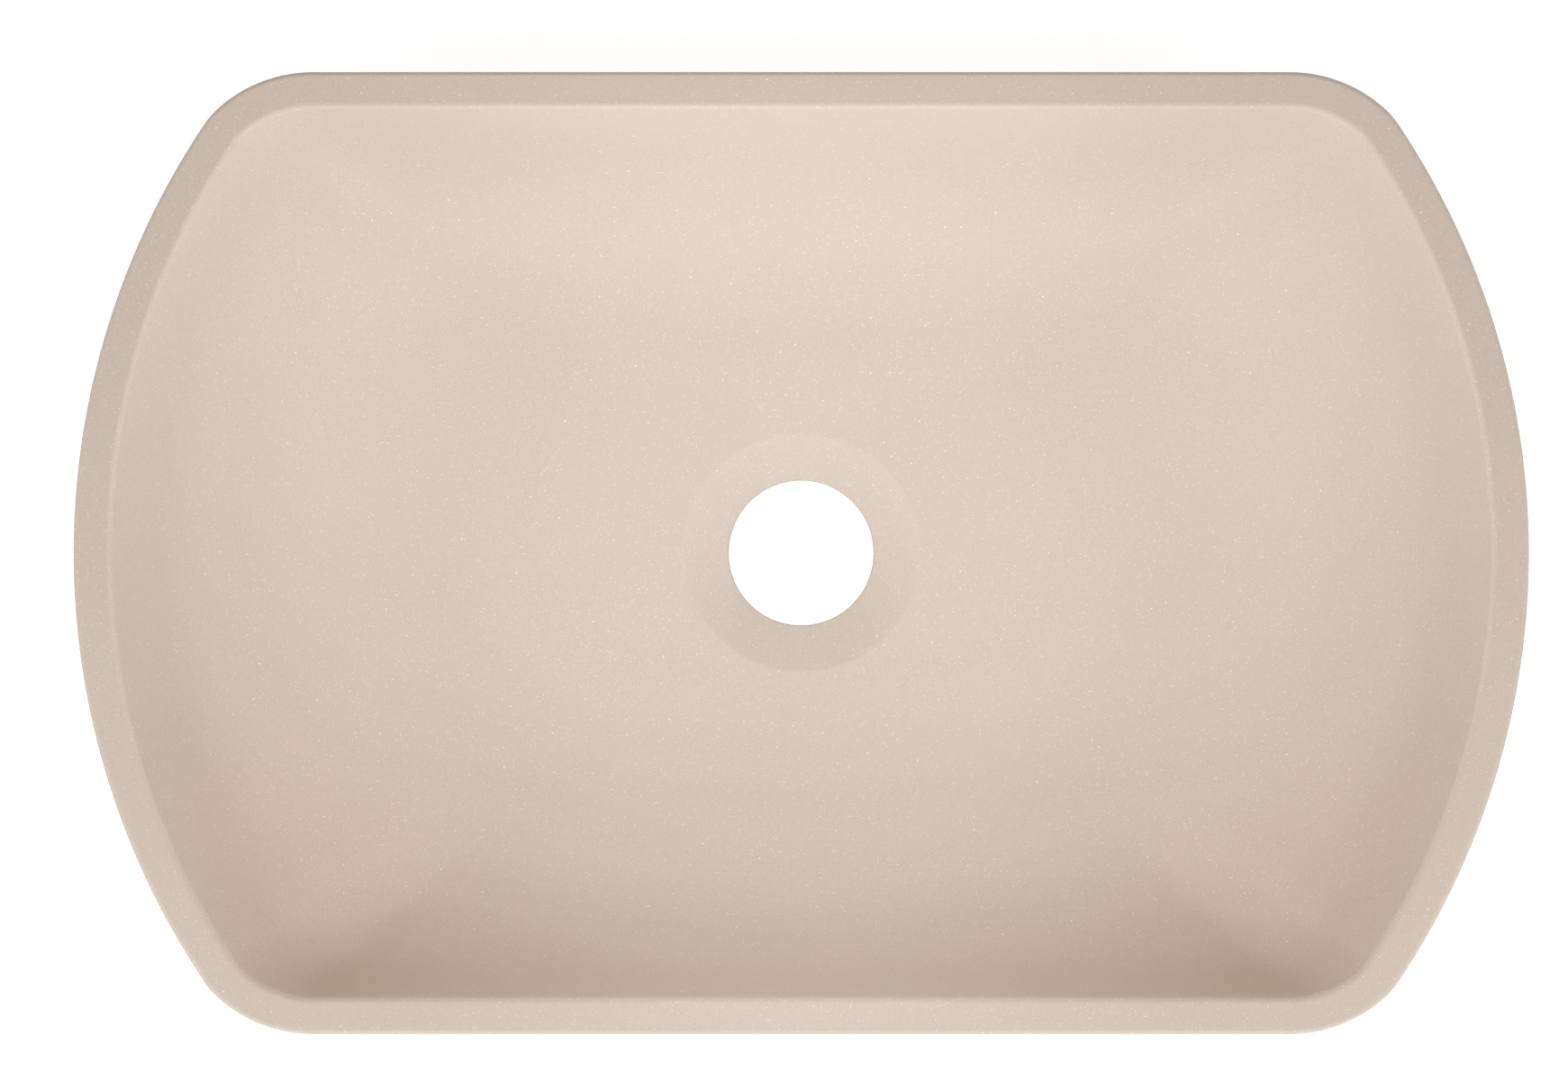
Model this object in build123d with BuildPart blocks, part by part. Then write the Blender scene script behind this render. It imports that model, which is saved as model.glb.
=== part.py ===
from build123d import *
from math import atan2, cos, degrees, radians, sin, tan
import os

# Countertop washbasin, cast in one piece from a mineral composite, standing on four elastomer pads.
# Millimetres. +X runs along the basin's width, -Y is its front and +Z is up.
# The origin is on the surface that the basin stands on, under the waste hole.

# Overall size, pads included
overall_width = 460.0
overall_depth = 304.0
overall_height = 100.0

# Rim outline: straight front and back, bowed ends, and at each corner a large arc and a tighter one
corner_radius = 45.0
shoulder_radius = 27.0
side_sweep = 33.9
shoulder_sweep = 14.6

# Rim
rim_width = 11.5
rim_outer_edge = 1.4
rim_inner_edge = 2.5

# Bowl: steep wall, a wide bend, then a floor that falls to the waste seat
bowl_depth = 72.0
wall_slope = 70.0
bowl_bend = 75.0
floor_slope = 6.0

# Waste seat and hole
seat_radius = 37.8
seat_slope = 25.0
seat_edge = 3.0
waste_hole_radius = 23.0
hole_edge = 1.0

# Foot
outer_slope = 66.0
foot_edge = 5.0
foot_band = 32.0
relief_depth = 2.0
land_radius = 48.0

# Base pads
pad_radius = 8.0
pad_thickness = 2.8
pad_edge = 0.7
pocket_depth = 1.3
pocket_clearance = 0.3
pad_inset = 18.0
pad_bearing = 62.0

# The rim outline's three arcs in one quarter, from the end of the basin round to its front or back
half_width = overall_width / 2
half_depth = overall_depth / 2
shoulder_end = side_sweep + shoulder_sweep
side_rise = half_depth - corner_radius + (corner_radius - shoulder_radius) * sin(radians(shoulder_end))
side_radius = shoulder_radius + side_rise / sin(radians(side_sweep))
side_centre = half_width - side_radius
shoulder_x = side_centre + (side_radius - shoulder_radius) * cos(radians(side_sweep))
corner_x = shoulder_x - (corner_radius - shoulder_radius) * cos(radians(shoulder_end))
corner_y = half_depth - corner_radius

# Each arc as its centre, radius, first angle and last angle, from the front right to the back right
right_end = [
    (corner_x, -corner_y, corner_radius, -90, -shoulder_end),
    (shoulder_x, -side_rise, shoulder_radius, -shoulder_end, -side_sweep),
    (side_centre, 0, side_radius, -side_sweep, side_sweep),
    (shoulder_x, side_rise, shoulder_radius, side_sweep, shoulder_end),
    (corner_x, corner_y, corner_radius, shoulder_end, 90),
]


def contour(scale, growth, level):
    """The rim outline, scaled about the middle and then moved outwards by growth, at a height."""
    with BuildSketch(Plane.XY.offset(level)) as loop:
        with BuildLine():
            for side, turn in ((1, 0), (-1, 180)):
                for x, y, radius, start, end in right_end:
                    middle = (side * scale * x, side * scale * y)
                    CenterArc(middle, scale * radius + growth, start + turn, end - start)
                edge_y = side * (scale * half_depth + growth)
                Line((side * scale * corner_x, edge_y), (-side * scale * corner_x, edge_y))
        make_face()
    return loop.sketch


# The outer wall tapers in from the rim to the foot, as a scaled copy of the rim
foot_level = pad_thickness - pocket_depth
wall_height = overall_height - foot_level
foot_scale = 1 - wall_height / tan(radians(outer_slope)) / half_depth
end_slope = degrees(atan2(wall_height, half_width * (1 - foot_scale)))

# Rounding the sharp top edge would take some of the overall size, and more at the ends, where the wall
# leans further. The edge is set out first by what the rounding takes.
edge_loss = rim_outer_edge * (tan(radians(90 - outer_slope / 2)) - 1)
end_edge_loss = rim_outer_edge * (tan(radians(90 - end_slope / 2)) - 1)
edge_scale = 1 + (end_edge_loss - edge_loss) / (half_width - half_depth)
edge_growth = edge_loss - half_depth * (edge_scale - 1)

# The bowl's section from the inner rim towards the seat, measured along the basin's short axis
inner_half_depth = half_depth - rim_width
floor_end = inner_half_depth - seat_radius
bend_run = bowl_bend * (sin(radians(wall_slope)) - sin(radians(floor_slope)))
bend_drop = bowl_bend * (cos(radians(floor_slope)) - cos(radians(wall_slope)))
floor_fall = (floor_end - bend_run) * tan(radians(floor_slope))
wall_run = (bowl_depth - bend_drop - floor_fall) / (tan(radians(wall_slope)) - tan(radians(floor_slope)))
wall_drop = wall_run * tan(radians(wall_slope))
bend_end = wall_run + bend_run


def depth_at(inset):
    """How far the bowl lies below the rim at a distance in from the rim's inner edge."""
    if inset <= wall_run:
        return inset * tan(radians(wall_slope))
    if inset <= bend_end:
        lean = sin(radians(wall_slope)) - (inset - wall_run) / bowl_bend
        return wall_drop + bowl_bend * ((1 - lean**2) ** 0.5 - cos(radians(wall_slope)))
    return wall_drop + bend_drop + (inset - bend_end) * tan(radians(floor_slope))


def bowl_contour(inset):
    """The bowl's level line that lies that far in from the rim's inner edge on the short axis.
    On the wall it is a scaled copy of the rim. Over the floor it turns into the seat's circle."""
    turned = max(0.0, (inset - bend_end) / (floor_end - bend_end))
    circle = seat_radius * turned**2 * (3 - 2 * turned)
    scale = 1 - (inset + circle) / inner_half_depth
    return contour(scale, circle - rim_width * scale, overall_height - depth_at(inset))


def steps(first, last, spacing):
    """Evenly spaced values from first to last, first left out."""
    count = max(2, round(abs(last - first) / spacing))
    return [first + (last - first) * number / count for number in range(1, count + 1)]


# Where the bowl's level lines are drawn, about as far apart along the surface on the wall, bend and floor
section_spacing = 6.0
above_rim = 2.5
seat_ledge = 1.0
wall_insets = [-above_rim] + steps(-above_rim, wall_run, section_spacing * cos(radians(wall_slope)))
bend_angles = steps(wall_slope, floor_slope, degrees(section_spacing / bowl_bend))
bend_insets = [wall_run + bowl_bend * (sin(radians(wall_slope)) - sin(radians(a))) for a in bend_angles]
floor_insets = steps(bend_end, floor_end - seat_ledge, section_spacing)
bowl_insets = wall_insets + bend_insets + floor_insets

# The waste seat is a cone from the floor's inner end down to the hole
seat_level = overall_height - depth_at(bowl_insets[-1])
hole_level = seat_level - (seat_radius - waste_hole_radius) * tan(radians(seat_slope))

# The relief in the underside follows the rim too, and leaves a band of foot at the front and back
relief_scale = foot_scale - foot_band / half_depth

# The pads sit on that band, one in each corner of the foot
pad_reach = foot_scale * corner_radius - pad_inset
pad_x = foot_scale * corner_x + pad_reach * cos(radians(pad_bearing))
pad_y = foot_scale * corner_y + pad_reach * sin(radians(pad_bearing))
pad_places = {
    "pad_front_left": (-pad_x, -pad_y),
    "pad_front_right": (pad_x, -pad_y),
    "pad_back_left": (-pad_x, pad_y),
    "pad_back_right": (pad_x, pad_y),
}

os.makedirs("parts", exist_ok=True)

with BuildPart() as basin_body:
    # The outside of the casting: a block tapered towards the foot, its top and foot edges rounded
    loft(
        sections=[
            contour(foot_scale * edge_scale, edge_growth, foot_level),
            contour(edge_scale, edge_growth, overall_height),
        ],
        ruled=True,
    )
    fillet(basin_body.edges().group_by(Axis.Z)[-1], rim_outer_edge)
    fillet(basin_body.edges().group_by(Axis.Z)[0], foot_edge)

    # The bowl, and the rounding where it leaves the flat rim
    loft(sections=[bowl_contour(inset) for inset in bowl_insets], mode=Mode.SUBTRACT)
    fillet(basin_body.edges(Select.LAST).group_by(Axis.Z)[-1], rim_inner_edge)

    # The conical seat for the waste, then its hole
    with BuildSketch(Plane.XZ):
        with BuildLine():
            Polyline(
                (0, 0),
                (waste_hole_radius, 0),
                (waste_hole_radius, hole_level),
                (seat_radius, seat_level),
                (seat_radius, overall_height),
                (0, overall_height),
                close=True,
            )
        make_face()
    revolve(axis=Axis.Z, mode=Mode.SUBTRACT)
    seat_rims = basin_body.edges(Select.LAST).filter_by(GeomType.CIRCLE).sort_by(Axis.Z)
    fillet(seat_rims[-1], seat_edge)
    fillet(seat_rims[-2], hole_edge)

    # The underside is relieved between the foot band and the land round the hole
    with BuildSketch(Plane.XY.offset(foot_level)):
        add(contour(relief_scale, 0, foot_level))
        Circle(land_radius, mode=Mode.SUBTRACT)
    extrude(amount=relief_depth, mode=Mode.SUBTRACT)

    # A shallow pocket for each pad
    with BuildSketch(Plane.XY.offset(foot_level)):
        with Locations(*pad_places.values()):
            Circle(pad_radius + pocket_clearance)
    extrude(amount=pocket_depth, mode=Mode.SUBTRACT)

basin_body.part.label = "basin_body"
export_step(basin_body.part, "parts/basin_body.step")

for name, place in pad_places.items():
    with BuildPart() as pad:
        with BuildSketch():
            with Locations(place):
                Circle(pad_radius)
        extrude(amount=pad_thickness)
        fillet(pad.edges().group_by(Axis.Z)[0], pad_edge)
    pad.part.label = name
    export_step(pad.part, f"parts/{name}.step")
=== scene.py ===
from math import atan2, cos, pi, radians, sin, tan

import bpy
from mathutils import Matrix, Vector


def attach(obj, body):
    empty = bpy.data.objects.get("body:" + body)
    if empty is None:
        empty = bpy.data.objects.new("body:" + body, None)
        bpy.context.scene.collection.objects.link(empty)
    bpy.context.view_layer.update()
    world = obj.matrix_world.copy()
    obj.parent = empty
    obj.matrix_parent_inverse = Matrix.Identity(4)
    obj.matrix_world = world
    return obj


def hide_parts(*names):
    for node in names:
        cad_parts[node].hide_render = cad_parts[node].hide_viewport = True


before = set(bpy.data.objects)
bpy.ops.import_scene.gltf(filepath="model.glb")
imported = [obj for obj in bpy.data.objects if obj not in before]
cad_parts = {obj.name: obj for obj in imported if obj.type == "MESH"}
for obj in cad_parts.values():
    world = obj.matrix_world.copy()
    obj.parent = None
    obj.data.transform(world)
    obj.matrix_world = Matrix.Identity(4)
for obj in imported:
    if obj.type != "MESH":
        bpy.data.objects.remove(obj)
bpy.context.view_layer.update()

# The casting. A countertop washbasin is poured in one piece: ground mineral filler in resin, sand beige
# with fine cream grit, cast upside down in a closed mould and then sanded to a satin surface.
# Every level line of it, inside and out, is the rim's outline scaled and then moved along its normals.

mm = 0.001
right_angle = radians(90)

# The rim outline, as the CAD part has it: a straight front and back, bowed ends, a tighter arc and a
# larger one at each corner. Lengths are in millimetres and angles in degrees.
half_width = 230.0
half_depth = 152.0
corner_radius = 45.0
shoulder_radius = 27.0
side_sweep = 33.9
shoulder_sweep = 14.6
shoulder_end = side_sweep + shoulder_sweep
side_rise = half_depth - corner_radius + (corner_radius - shoulder_radius) * sin(radians(shoulder_end))
side_radius = shoulder_radius + side_rise / sin(radians(side_sweep))
side_x = half_width - side_radius
shoulder_x = side_x + (side_radius - shoulder_radius) * cos(radians(side_sweep))
corner_x = shoulder_x - (corner_radius - shoulder_radius) * cos(radians(shoulder_end))
corner_y = half_depth - corner_radius

# Heights, slopes and roundings of the section
height = 100.0
rim_width = 11.5
outer_edge = 1.4
inner_edge = 2.5
bowl_depth = 72.0
wall_slope = radians(70.0)
bend_radius = 75.0
floor_slope = radians(6.0)
seat_radius = 37.8
seat_slope = radians(25.0)
seat_edge = 3.0
seat_ledge = 1.0
hole_radius = 23.0
hole_edge = 1.0
outer_slope = radians(66.0)
foot_level = 1.5
foot_edge = 5.0
foot_band = 32.0
relief_depth = 2.0
land_radius = 48.0
small_edge = 0.4

# The bowl's section on the short axis: wall, bend and floor
inner_depth = half_depth - rim_width
floor_end = inner_depth - seat_radius
bend_run = bend_radius * (sin(wall_slope) - sin(floor_slope))
bend_drop = bend_radius * (cos(floor_slope) - cos(wall_slope))
floor_fall = (floor_end - bend_run) * tan(floor_slope)
wall_run = (bowl_depth - bend_drop - floor_fall) / (tan(wall_slope) - tan(floor_slope))
wall_drop = wall_run * tan(wall_slope)
bend_end = wall_run + bend_run


def bowl_line(inset):
    """The bowl's level line that far in from the rim's inner edge, as (scale, growth, height)."""
    if inset <= wall_run:
        drop = inset * tan(wall_slope)
    elif inset <= bend_end:
        lean = sin(wall_slope) - (inset - wall_run) / bend_radius
        drop = wall_drop + bend_radius * ((1 - lean * lean) ** 0.5 - cos(wall_slope))
    else:
        drop = wall_drop + bend_drop + (inset - bend_end) * tan(floor_slope)
    turned = max(0.0, (inset - bend_end) / (floor_end - bend_end))
    circle = seat_radius * turned * turned * (3 - 2 * turned)
    scale = 1 - (inset + circle) / inner_depth
    return scale, circle - rim_width * scale, height - drop


def between(first, last, part):
    """The line a part of the way from the first line to the last."""
    return tuple(a + (b - a) * part for a, b in zip(first, last))


def straight(first, last, count):
    """Lines spaced evenly from the first towards the last, the last one left out."""
    return [between(first, last, number / count) for number in range(count)]


def rounding(before, sharp, after, turn, count):
    """Lines round an edge, from before to after. It is a true arc where the edge turns by that angle."""
    lines = []
    for number in range(count + 1):
        part = number / count
        shares = ((1 - part) ** 2, 2 * cos(turn / 2) * part * (1 - part), part**2)
        total = sum(shares)
        lines.append(tuple(
            sum(share * line[axis] for share, line in zip(shares, (before, sharp, after))) / total
            for axis in range(3)
        ))
    return lines


# The first and last lines of a surface stand close to its roundings, which keeps its shading even. These
# are their distances from them, in millimetres or as shares of the surface's length.
off_hole_edge = 0.1
off_underside = 1.0
off_bend = 0.5
off_relief_wall = 0.05
off_relief_corner = 0.1
cone_share = 0.02
rim_shares = (0.03, 0.5, 0.97)
outer_wall_share = 0.01
foot_shares = (0.02, 0.98)

# The lines in order, from the hole's lower edge up the hole, out over the seat and the bowl, across the
# rim and down the outside to the underside, where they meet the first again. The seat's own lines are
# circles, and have no scale.
seat_line = bowl_line(floor_end - seat_ledge)
seat_level = seat_line[2]
hole_level = seat_level - (seat_radius - hole_radius) * tan(seat_slope)
hole_cut = hole_edge * tan((right_angle - seat_slope) / 2)
seat_cut = seat_edge * tan(seat_slope / 2)
hole_top = (0, hole_radius, hole_level)
hole_side = (0, hole_radius, hole_level - hole_cut)
hole_seat = (0, hole_radius + hole_cut * cos(seat_slope), hole_level + hole_cut * sin(seat_slope))
seat_low = (0, seat_radius - seat_cut * cos(seat_slope), seat_level - seat_cut * sin(seat_slope))
seat_top = (0, seat_radius + seat_cut, seat_level)
seat_lines = (
    rounding((0, hole_radius + small_edge, foot_level), (0, hole_radius, foot_level),
             (0, hole_radius, foot_level + small_edge), right_angle, count=3)
    + straight((0, hole_radius, foot_level + off_underside),
               (0, hole_radius, hole_level - hole_cut - off_hole_edge), count=4)
    + rounding(hole_side, hole_top, hole_seat, right_angle - seat_slope, count=6)
    + straight(between(hole_seat, seat_low, cone_share), seat_low, count=4)
    + rounding(seat_low, (0, seat_radius, seat_level), seat_top, seat_slope, count=6)
)

# Near the seat the bowl's lines lie closer together, and round the bend they turn by equal angles
approach_start = floor_end - 4.0
floor_steps = 26
floor_run = approach_start - bend_end
bend_steps = 28
bend_slopes = [
    floor_slope + (wall_slope - floor_slope) * number / bend_steps for number in range(bend_steps + 1)
]
rim_inside = (1, -rim_width, height)
inner_cut = inner_edge * tan(wall_slope / 2)
rim_flat_in = (1, inner_cut - rim_width, height)
wall_top = bowl_line(inner_cut * cos(wall_slope))
bowl_lines = (
    straight(seat_line, bowl_line(approach_start), count=3)
    + [bowl_line(approach_start - floor_run * number / floor_steps) for number in range(floor_steps)]
    + [bowl_line(wall_run + bend_radius * (sin(wall_slope) - sin(slope))) for slope in bend_slopes]
    + straight(bowl_line(wall_run - off_bend), wall_top, count=8)
    + rounding(wall_top, rim_inside, rim_flat_in, wall_slope, count=10)
)

# The sharp top edge is set out by what its rounding takes, more at the ends where the wall leans further.
# There the rounding is a little fuller than an arc, and that much comes off again.
end_fullness = 0.16
foot_scale = 1 - (height - foot_level) / tan(outer_slope) / half_depth
end_slope = atan2(height - foot_level, half_width * (1 - foot_scale))
outer_cut = outer_edge * tan(right_angle - outer_slope / 2)
edge_loss = outer_cut - outer_edge
end_loss = outer_edge * (tan(right_angle - end_slope / 2) - 1) - end_fullness
edge_scale = 1 + (end_loss - edge_loss) / (half_width - half_depth)
edge_growth = edge_loss - half_depth * (edge_scale - 1)
rim_outside = (edge_scale, edge_growth, height)
foot_outside = (foot_scale * edge_scale, edge_growth, foot_level)
wall_length = (height - foot_level) / sin(outer_slope)
rim_flat_out = (1, -outer_edge, height)
outer_top = between(rim_outside, foot_outside, outer_cut / wall_length)
foot_cut = foot_edge * tan(outer_slope / 2)
outer_low = between(foot_outside, rim_outside, foot_cut / wall_length)
foot_flat = (foot_outside[0], edge_growth - foot_cut, foot_level)
outer_lines = (
    [between(rim_flat_in, rim_flat_out, part) for part in rim_shares]
    + rounding(rim_flat_out, rim_outside, outer_top, 2 * right_angle - outer_slope, count=8)
    + straight(between(outer_top, outer_low, outer_wall_share), outer_low, count=8)
    + rounding(outer_low, foot_outside, foot_flat, outer_slope, count=8)
)

# Under the foot: the band that stands proud, the relief inside it, and the land round the hole
relief_scale = foot_scale - foot_band / half_depth
relief_level = foot_level + relief_depth
under_lines = (
    [between(foot_flat, (relief_scale, 0, foot_level), part) for part in foot_shares]
    + rounding((relief_scale, small_edge, foot_level), (relief_scale, 0, foot_level),
               (relief_scale, 0, foot_level + small_edge), right_angle, count=3)
    + [(relief_scale, 0, relief_level - off_relief_wall)]
    + [(relief_scale, 0, relief_level)]
    + [(relief_scale, -off_relief_corner, relief_level)]
)
land_lines = (
    [(0, land_radius + off_relief_corner, relief_level)]
    + [(0, land_radius, relief_level)]
    + [(0, land_radius, relief_level - off_relief_wall)]
    + rounding((0, land_radius, foot_level + small_edge), (0, land_radius, foot_level),
               (0, land_radius - small_edge, foot_level), right_angle, count=3)
    + [(0, land_radius - off_underside, foot_level), (0, hole_radius + off_underside, foot_level)]
)
lines = seat_lines + bowl_lines + outer_lines + under_lines + land_lines

# The base mesh is the section: one point a line, at (scale, growth, height)
section = bpy.data.meshes.new("section")
section.from_pydata(
    [(scale, growth * mm, level * mm) for scale, growth, level in lines],
    [(number, number + 1) for number in range(len(lines) - 1)],
    [],
)
basin = bpy.data.objects.new("basin_casting", section)
bpy.context.scene.collection.objects.link(basin)


def add_node(tree, kind, inputs=(), **settings):
    """Adds a node with its settings. Its inputs, by name or in order, are set, or linked to a node or a
    socket."""
    node = tree.nodes.new(kind)
    for name, value in settings.items():
        setattr(node, name, value)
    in_use = [socket for socket in node.inputs if socket.enabled]
    for key, value in inputs.items() if isinstance(inputs, dict) else zip(in_use, inputs):
        socket = node.inputs[key] if isinstance(key, str) else key
        if isinstance(value, bpy.types.Node):
            value = next(output for output in value.outputs if output.enabled)
        if isinstance(value, bpy.types.NodeSocket):
            tree.links.new(value, socket)
        else:
            socket.default_value = value
    return node


NUMBER = "ShaderNodeMath"
WHOLE = "FunctionNodeIntegerMath"
VECTOR = "ShaderNodeVectorMath"
SWITCH = "GeometryNodeSwitch"

sweep = bpy.data.node_groups.new("casting from its section and outline", "GeometryNodeTree")
sweep.is_modifier = True
sweep.interface.new_socket("Section", in_out="INPUT", socket_type="NodeSocketGeometry")
sizes = {
    "Side centre": ("NodeSocketVector", (side_x * mm, 0, 0)),
    "Side radius": ("NodeSocketFloat", side_radius * mm),
    "Side sweep": ("NodeSocketFloat", radians(side_sweep)),
    "Shoulder centre": ("NodeSocketVector", (shoulder_x * mm, side_rise * mm, 0)),
    "Shoulder radius": ("NodeSocketFloat", shoulder_radius * mm),
    "Shoulder end": ("NodeSocketFloat", radians(shoulder_end)),
    "Corner centre": ("NodeSocketVector", (corner_x * mm, corner_y * mm, 0)),
    "Corner radius": ("NodeSocketFloat", corner_radius * mm),
    "Seat scale": ("NodeSocketFloat", seat_line[0]),
    "Seat growth": ("NodeSocketFloat", seat_line[1] * mm),
    "Quarter steps": ("NodeSocketInt", 72),
    "Straight steps": ("NodeSocketInt", 12),
    "Sharp angle": ("NodeSocketFloat", radians(35)),
    "Material": ("NodeSocketMaterial", None),
}
sockets = {}
for name, (kind, value) in sizes.items():
    sockets[name] = sweep.interface.new_socket(name, in_out="INPUT", socket_type=kind).identifier
sweep.interface.new_socket("Casting", in_out="OUTPUT", socket_type="NodeSocketGeometry")
given = add_node(sweep, "NodeGroupInput").outputs

# A closed grid has a column for each step round the outline and a row for each line of the section
line_count = add_node(sweep, "GeometryNodeAttributeDomainSize", (given["Section"],))
arcs = add_node(sweep, WHOLE, (given["Quarter steps"], 4), operation="MULTIPLY")
straights = add_node(sweep, WHOLE, (given["Straight steps"], 2), operation="MULTIPLY")
columns = add_node(sweep, WHOLE, (arcs, straights), operation="ADD")
column_ends = add_node(sweep, WHOLE, (columns, 1), operation="ADD")
rows = add_node(sweep, WHOLE, (line_count, 1), operation="ADD")
grid = add_node(sweep, "GeometryNodeMeshGrid", {"Vertices X": column_ends, "Vertices Y": rows})
index = add_node(sweep, "GeometryNodeInputIndex")
column = add_node(sweep, WHOLE, (index, rows), operation="DIVIDE_FLOOR")
place_in_column = add_node(sweep, WHOLE, (index, rows), operation="MODULO")
row = add_node(sweep, WHOLE, (place_in_column, line_count), operation="MODULO")

# Steps along the straight back and front keep the normal's angle, and the rest turn it evenly. The back
# comes after one quarter of the turn and the front after three.
past_back = add_node(sweep, NUMBER, (column, given["Quarter steps"]), operation="SUBTRACT")
back_steps = add_node(sweep, "ShaderNodeClamp", (past_back, 0.0, given["Straight steps"]))
front_start = add_node(sweep, WHOLE, (given["Quarter steps"], 3, given["Straight steps"]),
                       operation="MULTIPLY_ADD")
past_front = add_node(sweep, NUMBER, (column, front_start), operation="SUBTRACT")
front_steps = add_node(sweep, "ShaderNodeClamp", (past_front, 0.0, given["Straight steps"]))
past_straights = add_node(sweep, NUMBER, (back_steps, front_steps), operation="ADD")
turned_steps = add_node(sweep, NUMBER, (column, past_straights), operation="SUBTRACT")
turned_share = add_node(sweep, NUMBER, (turned_steps, arcs), operation="DIVIDE")
angle = add_node(sweep, NUMBER, (turned_share, 2 * pi), operation="MULTIPLY")
cosine = add_node(sweep, NUMBER, (angle,), operation="COSINE")
sine = add_node(sweep, NUMBER, (angle,), operation="SINE")
normal = add_node(sweep, "ShaderNodeCombineXYZ", (cosine, sine))

# The straights carry the corner centres across, from one end of the basin to the other
steps_across = add_node(sweep, NUMBER, (front_steps, back_steps), operation="SUBTRACT")
share_across = add_node(sweep, NUMBER, (steps_across, given["Straight steps"]), operation="DIVIDE")
side_sign = add_node(sweep, NUMBER, (share_across, 2.0, 1.0), operation="MULTIPLY_ADD")
back_sign = add_node(sweep, NUMBER, (sine,), operation="SIGN")
signs = add_node(sweep, "ShaderNodeCombineXYZ", (side_sign, back_sign))

# Which arc a normal belongs to depends on how far it has turned from the nearer end of the basin
sine_size = add_node(sweep, NUMBER, (sine,), operation="ABSOLUTE")
safe_sine = add_node(sweep, NUMBER, (sine_size, 1.0), operation="MINIMUM")
turn = add_node(sweep, NUMBER, (safe_sine,), operation="ARCSINE")
on_side = add_node(sweep, NUMBER, (turn, given["Side sweep"]), operation="LESS_THAN")
before_corner = add_node(sweep, NUMBER, (turn, given["Shoulder end"]), operation="LESS_THAN")
end_centre = add_node(sweep, SWITCH, (before_corner, given["Corner centre"], given["Shoulder centre"]),
                      input_type="VECTOR")
centre = add_node(sweep, SWITCH, (on_side, end_centre, given["Side centre"]), input_type="VECTOR")
end_radius = add_node(sweep, SWITCH, (before_corner, given["Corner radius"], given["Shoulder radius"]),
                      input_type="FLOAT")
radius = add_node(sweep, SWITCH, (on_side, end_radius, given["Side radius"]), input_type="FLOAT")
signed_centre = add_node(sweep, VECTOR, (centre, signs), operation="MULTIPLY")
reach = add_node(sweep, VECTOR, (normal, radius), operation="SCALE")
outline = add_node(sweep, VECTOR, (signed_centre, reach), operation="ADD")

# A line is the outline scaled and then moved outwards. The seat's circles take their spacing from the
# bowl's last line, so that no two points of one circle fall together.
smallest_scale = 0.001
position = add_node(sweep, "GeometryNodeInputPosition")
line = add_node(sweep, "GeometryNodeSampleIndex", (given["Section"], position, row),
                data_type="FLOAT_VECTOR")
line_scale, line_growth, line_height = add_node(sweep, "ShaderNodeSeparateXYZ", (line,)).outputs
scaled_outline = add_node(sweep, VECTOR, (outline, line_scale), operation="SCALE")
growth = add_node(sweep, VECTOR, (normal, line_growth), operation="SCALE")
level_line = add_node(sweep, VECTOR, (scaled_outline, growth), operation="ADD")
last_scaled = add_node(sweep, VECTOR, (outline, given["Seat scale"]), operation="SCALE")
last_growth = add_node(sweep, VECTOR, (normal, given["Seat growth"]), operation="SCALE")
last_line = add_node(sweep, VECTOR, (last_scaled, last_growth), operation="ADD")
outward = add_node(sweep, VECTOR, (last_line,), operation="NORMALIZE")
circle = add_node(sweep, VECTOR, (outward, line_growth), operation="SCALE")
is_circle = add_node(sweep, NUMBER, (line_scale, smallest_scale), operation="LESS_THAN")
flat_place = add_node(sweep, SWITCH, (is_circle, level_line, circle), input_type="VECTOR")
lift = add_node(sweep, "ShaderNodeCombineXYZ", {"Z": line_height})
place = add_node(sweep, VECTOR, (flat_place, lift), operation="ADD")

# The grid's first and last rows and columns fall together, and are merged
merge_distance = 0.002 * mm
shaped = add_node(sweep, "GeometryNodeSetPosition", {"Geometry": grid, "Position": place})
closed = add_node(sweep, "GeometryNodeMergeByDistance", {"Geometry": shaped, "Distance": merge_distance})
outward_faces = add_node(sweep, "GeometryNodeFlipFaces", {"Mesh": closed})
smooth = add_node(sweep, "GeometryNodeSetShadeSmooth", {"Geometry": outward_faces, "Shade Smooth": True})
edge_angle = add_node(sweep, "GeometryNodeInputMeshEdgeAngle")
is_sharp = add_node(sweep, NUMBER, (edge_angle, given["Sharp angle"]), operation="GREATER_THAN")
creased = add_node(sweep, "GeometryNodeSetShadeSmooth",
                   {"Geometry": smooth, "Selection": is_sharp, "Shade Smooth": False}, domain="EDGE")
real = add_node(sweep, "GeometryNodeRealizeInstances", (creased,))
finished = add_node(sweep, "GeometryNodeSetMaterial", {"Geometry": real, "Material": given["Material"]})
add_node(sweep, "NodeGroupOutput", (finished,))


def linear(hex_colour):
    """An sRGB hex colour as linear RGBA."""
    parts = [int(hex_colour[i:i + 2], 16) / 255 for i in (1, 3, 5)]
    return [c / 12.92 if c <= 0.04045 else ((c + 0.055) / 1.055) ** 2.4 for c in parts] + [1]


# Mineral composite, cast and sanded: ground stone in tinted resin. Sanding leaves it satin, so its gloss
# is broad and weak, and cuts through the pale grit, which shows as fine cream specks.
composite = bpy.data.materials.new("cast mineral composite, sand, satin")
composite.use_nodes = True
shade = composite.node_tree
shade.nodes.clear()
place_in = add_node(shade, "ShaderNodeTexCoord").outputs["Object"]

# Noise half a millimetre wide bends a grain out of round, and its edge is soft
bend_mm = 0.5
solid_share = 0.7


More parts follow.
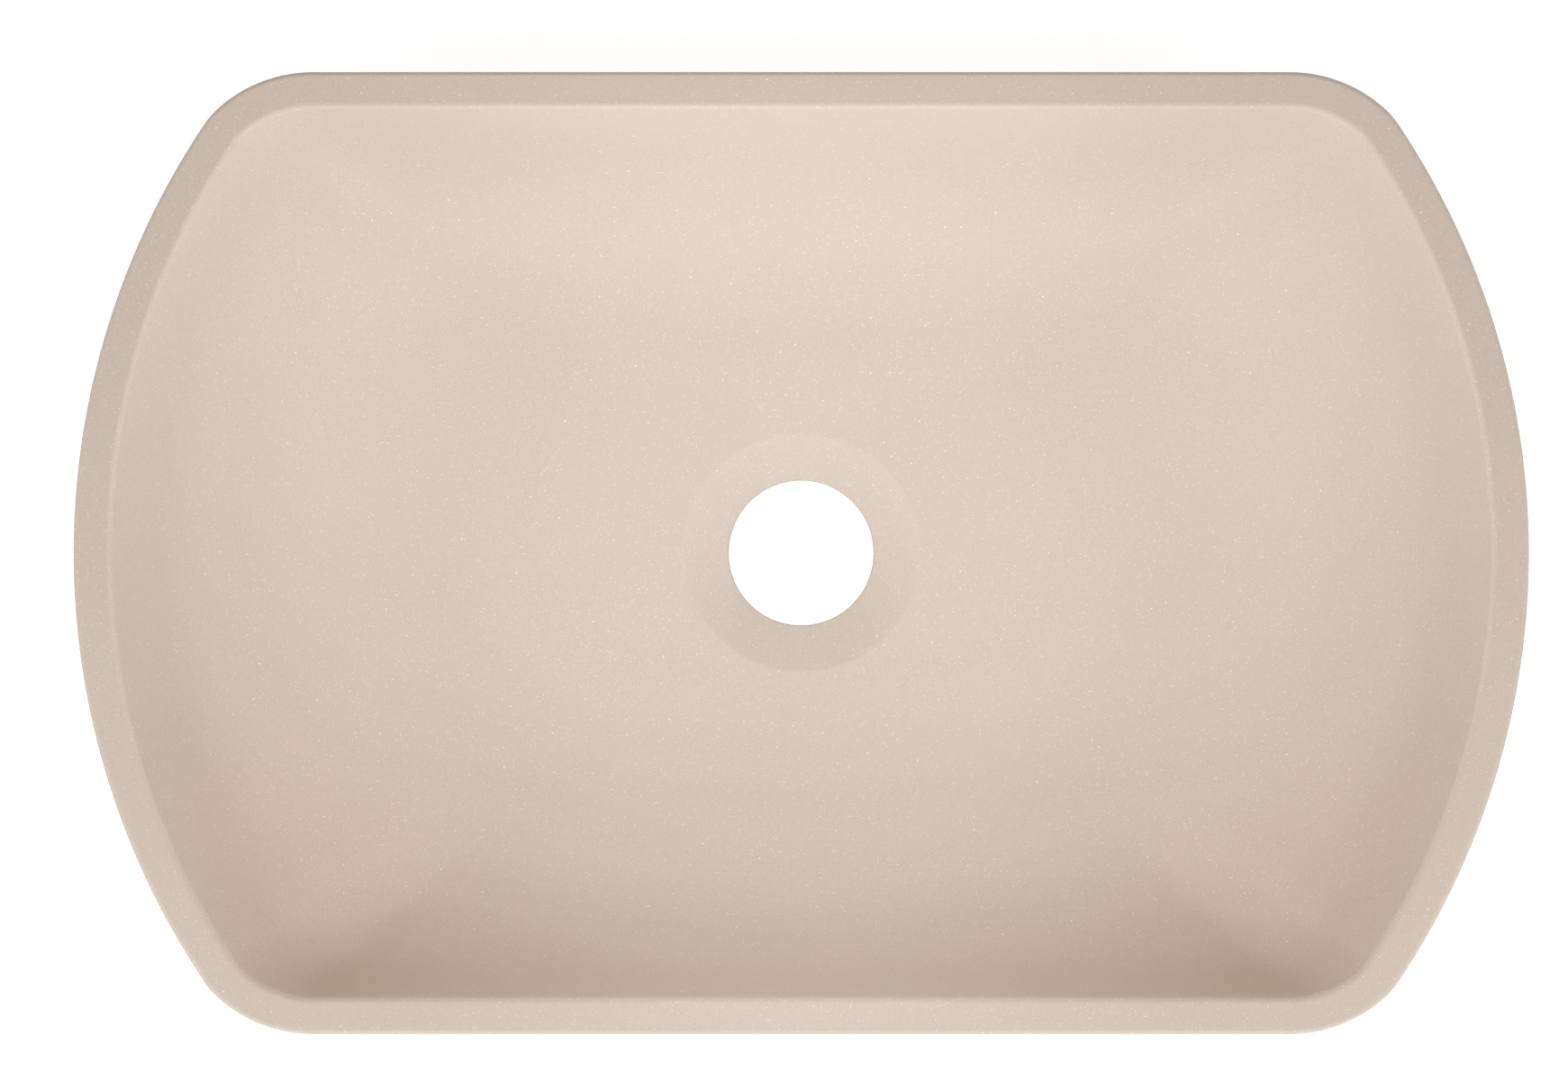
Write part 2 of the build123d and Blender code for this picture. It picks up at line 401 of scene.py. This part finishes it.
def grit(spacing_mm, smallest_mm, largest_mm, faintness, shift_mm):
    """How strongly a speck shows. One grain lies in each cell of that spacing, between two radii, and the
    higher the faintness, the fewer grains are bright."""
    shifted = add_node(shade, VECTOR, (place_in, (shift_mm * mm,) * 3), operation="ADD")
    noise = add_node(shade, "ShaderNodeTexNoise",
                     {"Vector": shifted, "Scale": 1 / (bend_mm * mm), "Detail": 0.0})
    pull = add_node(shade, VECTOR, (noise.outputs["Color"], (0.5, 0.5, 0.5)), operation="SUBTRACT")
    bent = add_node(shade, VECTOR, (pull, (bend_mm * mm,) * 3, shifted), operation="MULTIPLY_ADD")
    cells = add_node(shade, "ShaderNodeTexVoronoi", {"Vector": bent, "Scale": 1 / (spacing_mm * mm)})
    size_lot, bright_lot, _ = add_node(shade, "ShaderNodeSeparateColor", (cells.outputs["Color"],)).outputs
    grain = add_node(shade, "ShaderNodeMapRange",
                     (size_lot, 0.0, 1.0, smallest_mm / spacing_mm, largest_mm / spacing_mm))
    share = add_node(shade, NUMBER, (cells.outputs["Distance"], grain), operation="DIVIDE")
    inside = add_node(shade, "ShaderNodeMapRange", (share, 1.0, solid_share, 0.0, 1.0))
    strength = add_node(shade, NUMBER, (bright_lot, faintness), operation="POWER")
    return add_node(shade, NUMBER, (inside, strength), operation="MULTIPLY")


# Most of the grit is fine, with a coarser grain every two millimetres or so. The sanded face cuts the
# grains where it meets them, so that most specks are smaller than a grain. The pour leaves a faint
# clouding some 45 mm wide. The tooth stands for the sanding's scratches, which are too fine to show, and
# is drawn coarser than they are.
fine = grit(spacing_mm=0.56, smallest_mm=0.08, largest_mm=0.22, faintness=1.6, shift_mm=31)
coarse = grit(spacing_mm=2.2, smallest_mm=0.16, largest_mm=0.36, faintness=1.5, shift_mm=57)
cloud_mm = 45
scratch_mm = 0.6
scratch_depth_mm = 0.01
smoother, rougher = 0.44, 0.52
cream = linear("#FBF4EA")
cloud = add_node(shade, "ShaderNodeTexNoise",
                 {"Vector": place_in, "Scale": 1 / (cloud_mm * mm), "Detail": 2.0})
matrix = add_node(shade, "ShaderNodeMix", (cloud, linear("#D9CABC"), linear("#DBCDBE")), data_type="RGBA")
with_fine = add_node(shade, "ShaderNodeMix", (fine, matrix, cream), data_type="RGBA")
with_coarse = add_node(shade, "ShaderNodeMix", (coarse, with_fine, cream), data_type="RGBA")
tooth = add_node(shade, "ShaderNodeTexNoise",
                 {"Vector": place_in, "Scale": 1 / (scratch_mm * mm), "Detail": 2.0})
sanded = add_node(shade, "ShaderNodeBump",
                  {"Height": tooth, "Distance": scratch_depth_mm * mm, "Strength": 0.3})
rough = add_node(shade, "ShaderNodeMapRange", (cloud, 0.0, 1.0, smoother, rougher))
stone = add_node(shade, "ShaderNodeBsdfPrincipled", {
    "Base Color": with_coarse, "Roughness": rough, "IOR": 1.5, "Normal": sanded,
})
add_node(shade, "ShaderNodeOutputMaterial", (stone,))

modifier = basin.modifiers.new("casting", "NODES")
modifier.node_group = sweep
for name, (kind, value) in sizes.items():
    modifier[sockets[name]] = composite if name == "Material" else value
casting = bpy.data.meshes.new_from_object(basin.evaluated_get(bpy.context.evaluated_depsgraph_get()))
basin.modifiers.clear()
casting.name = "basin_casting"
basin.data = casting
bpy.data.meshes.remove(section)
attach(basin, "root")
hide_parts("basin_body")

# The base pads. Four moulded elastomer discs are bonded into shallow pockets under the foot, so that the
# basin neither slips on the countertop nor scratches it. The CAD discs stay, with a moulded rubber finish:
# matt and near black, with a spark-eroded mould's tooth, drawn coarser than it is so that it shows.
rubber = bpy.data.materials.new("moulded black elastomer, matt")
rubber.use_nodes = True
rubber_nodes = rubber.node_tree
rubber_nodes.nodes.clear()
rubber_place = add_node(rubber_nodes, "ShaderNodeTexCoord").outputs["Object"]
bloom_mm = 3
tooth_mm = 0.4
tooth_depth_mm = 0.05
bloom = add_node(rubber_nodes, "ShaderNodeTexNoise",
                 {"Vector": rubber_place, "Scale": 1 / (bloom_mm * mm), "Detail": 3.0})
tint = add_node(rubber_nodes, "ShaderNodeMix", (bloom, linear("#1B1B1C"), linear("#2A2A2B")),
                data_type="RGBA")
spark = add_node(rubber_nodes, "ShaderNodeTexNoise", {"Vector": rubber_place, "Scale": 1 / (tooth_mm * mm)})
skin = add_node(rubber_nodes, "ShaderNodeBump",
                {"Height": spark, "Distance": tooth_depth_mm * mm, "Strength": 0.5})
coat = add_node(rubber_nodes, "ShaderNodeBsdfPrincipled",
                {"Base Color": tint, "Roughness": 0.7, "IOR": 1.52, "Normal": skin})
add_node(rubber_nodes, "ShaderNodeOutputMaterial", (coat,))
for name in ("pad_front_left", "pad_front_right", "pad_back_left", "pad_back_right"):
    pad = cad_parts[name]
    pad.data.materials.clear()
    pad.data.materials.append(rubber)

# The stand-in for the studio: a white floor under soft light from the front, both sides and behind. The
# camera and reflections see floor and surroundings as plain white, but for the basin's own soft shadow.
paper_reach = 4000 * mm
paper_gap = 0.2 * mm
floor_mesh = bpy.data.meshes.new("floor")
floor_mesh.from_pydata(
    [(x * paper_reach, y * paper_reach, 0) for x, y in ((-1, -1), (1, -1), (1, 1), (-1, 1))],
    [],
    [(0, 1, 2, 3)],
)
floor = bpy.data.objects.new("floor", floor_mesh)
floor.location.z = -paper_gap
bpy.context.scene.collection.objects.link(floor)
paper = bpy.data.materials.new("white backdrop paper")
paper.use_nodes = True
paper_nodes = paper.node_tree
paper_nodes.nodes.clear()
world = bpy.data.worlds.new("studio")
world.use_nodes = True
world_nodes = world.node_tree
world_nodes.nodes.clear()
seen = {}
for tree in (paper_nodes, world_nodes):
    rays = add_node(tree, "ShaderNodeLightPath").outputs
    straight_or_glossy = add_node(tree, NUMBER, (rays["Is Camera Ray"], rays["Is Glossy Ray"]),
                                  operation="MAXIMUM")
    seen[tree] = add_node(tree, NUMBER, (straight_or_glossy, rays["Is Transmission Ray"]),
                          operation="MAXIMUM")

# The paper is white without any light on it under the basin, where only the hole shows it, and far off,
# where the lamps are weak. In between, most of its white is its own and the lamps add the rest.
hole_patch = 60 * mm
fade_start, fade_end = 450 * mm, 900 * mm
near_glow, full_glow = 0.78, 1.0
faint_grey = 0.65
paper_place = add_node(paper_nodes, "ShaderNodeTexCoord").outputs["Object"]
off_middle = add_node(paper_nodes, VECTOR, (paper_place,), operation="LENGTH").outputs["Value"]
under_hole = add_node(paper_nodes, NUMBER, (off_middle, hole_patch), operation="LESS_THAN")
far_off = add_node(paper_nodes, "ShaderNodeMapRange",
                   (off_middle, fade_start, fade_end, near_glow, full_glow))
glow = add_node(paper_nodes, NUMBER, (far_off, under_hole), operation="MAXIMUM")
lit = add_node(paper_nodes, "ShaderNodeEmission", {"Color": (1, 1, 1, 1), "Strength": glow})
faint = add_node(paper_nodes, "ShaderNodeBsdfDiffuse", {"Color": (faint_grey,) * 3 + (1,)})
white_paper = add_node(paper_nodes, "ShaderNodeAddShader", (lit, faint))
matt_paper = add_node(paper_nodes, "ShaderNodeBsdfDiffuse", {"Color": linear("#E6E6E6")})
ground = add_node(paper_nodes, "ShaderNodeMixShader", (seen[paper_nodes], matt_paper, white_paper))
add_node(paper_nodes, "ShaderNodeOutputMaterial", (ground,))
floor_mesh.materials.append(paper)

dim = add_node(world_nodes, "ShaderNodeBackground", {"Color": (1, 1, 1, 1), "Strength": 0.02})
white = add_node(world_nodes, "ShaderNodeBackground", {"Color": (1, 1, 1, 1), "Strength": 1.0})
sky = add_node(world_nodes, "ShaderNodeMixShader", (seen[world_nodes], dim, white))
add_node(world_nodes, "ShaderNodeOutputWorld", (sky,))
bpy.context.scene.world = world

# Each lamp by its bearing from the front and its rise, in degrees, its distance from the middle of the
# rim, its width and height, in millimetres, its share of the light there, and its colour. One that isn't
# in line with the basin has a twin on the other side, and the two share the light. Small ones hang close
# over the bowl, and the rest stand round the basin.
blue, cool, pale, neutral, warm = "#BDE0FF", "#DEEFFF", "#F7FAFF", "#FFFBF7", "#FFF2E3"
lamps = {
    "over_bowl": (90, 41, 106, 100, 100, 0.508, cool),
    "over_front": (0, 50, 156, 100, 100, 0.107, pale),
    "side_high": (75, 55, 2000, 615, 491, 0.402, neutral),
    "side_low": (105, 20, 2000, 1007, 491, 0.053, warm),
    "side_lowest": (75, 8, 2000, 1061, 491, 0.034, blue),
    "side_back_lowest": (105, 8, 2000, 1061, 491, 0.031, warm),
    "front_corner": (50, 29, 448, 100, 100, 0.058, warm),
    "front_high": (0, 36, 2000, 1868, 491, 0.097, pale),
    "front_low": (0, 20, 2000, 2170, 491, 0.064, cool),
    "front_lowest": (0, 8, 2000, 2287, 491, 0.032, neutral),
    "back": (180, 42, 602, 100, 100, 0.058, warm),
    "back_near": (180, 38, 328, 100, 100, 0.016, warm),
}
rim_middle = Vector((0, 0, height * mm))
for name, (bearing, rise, distance, width, tall, share, colour) in lamps.items():
    sides = {"": 1} if bearing in (0, 180) else {"_left": -1, "_right": 1}
    for side, sign in sides.items():
        lamp = bpy.data.lights.new(name + side, "AREA")
        lamp.shape = "RECTANGLE"
        lamp.size = width * mm
        lamp.size_y = tall * mm
        lamp.color = linear(colour)[:3]
        # The power of an area lamp that gives a white level surface that share of full white
        lamp.energy = share / len(sides) * (pi * distance * mm) ** 2 / sin(radians(rise))
        holder = bpy.data.objects.new(name + side, lamp)
        turn_to, level_reach = sign * radians(bearing), cos(radians(rise))
        towards = Vector((level_reach * sin(turn_to), -level_reach * cos(turn_to), sin(radians(rise))))
        holder.location = rim_middle + distance * mm * towards
        holder.rotation_euler = (-towards).to_track_quat("-Z", "Y").to_euler()
        holder.visible_camera = False
        bpy.context.scene.collection.objects.link(holder)

# The photograph shows no perspective down in the bowl, so it was taken from far above. Its frame is
# 495.4 mm wide at the rim, and its middle lies 5.5 mm left of the basin's middle and 4 mm behind it.
camera_rise = 10.0
frame_width = 495.4 * mm
frame_left = 5.46 * mm
frame_back = 4.01 * mm
sensor_width = 36.0
camera_data = bpy.data.cameras.new("camera")
camera_data.sensor_width = sensor_width
camera_data.lens = sensor_width * camera_rise / frame_width
camera = bpy.data.objects.new("camera", camera_data)
camera.location = (-frame_left, frame_back, height * mm + camera_rise)
bpy.context.scene.collection.objects.link(camera)
bpy.context.scene.camera = camera
bpy.context.scene.view_settings.view_transform = "Standard"
